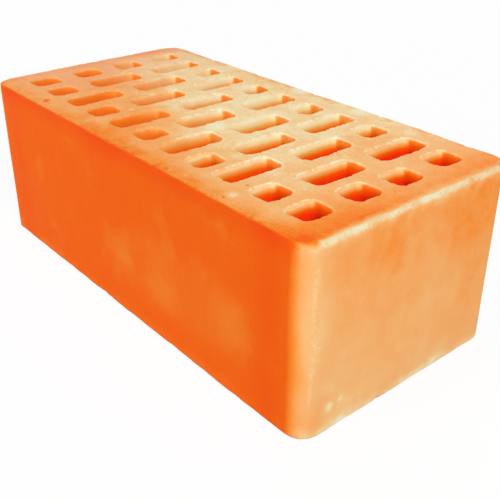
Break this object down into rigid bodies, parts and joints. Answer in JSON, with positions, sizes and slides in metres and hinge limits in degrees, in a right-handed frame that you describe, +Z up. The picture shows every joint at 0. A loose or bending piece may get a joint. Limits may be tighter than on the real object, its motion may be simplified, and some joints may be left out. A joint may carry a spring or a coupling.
{
  "type": "perforated clay brick",
  "caption": "Facing brick of fired clay, with rows of slots from bed to bed, for laying in mortar.",
  "frame": {"origin": "middle of the lower bed, on the surface that the brick lies on", "axes": "+X along the length, +Y across the width, +Z up, along the holes"},
  "size_m": [0.25, 0.12, 0.088],
  "materials": {
    "fired_clay": "matt orange clay, paler on the cut beds, with fine pores and softened arrises"
  },
  "bodies": {
    "root": {"brick": "fired_clay"}
  },
  "joints": []
}
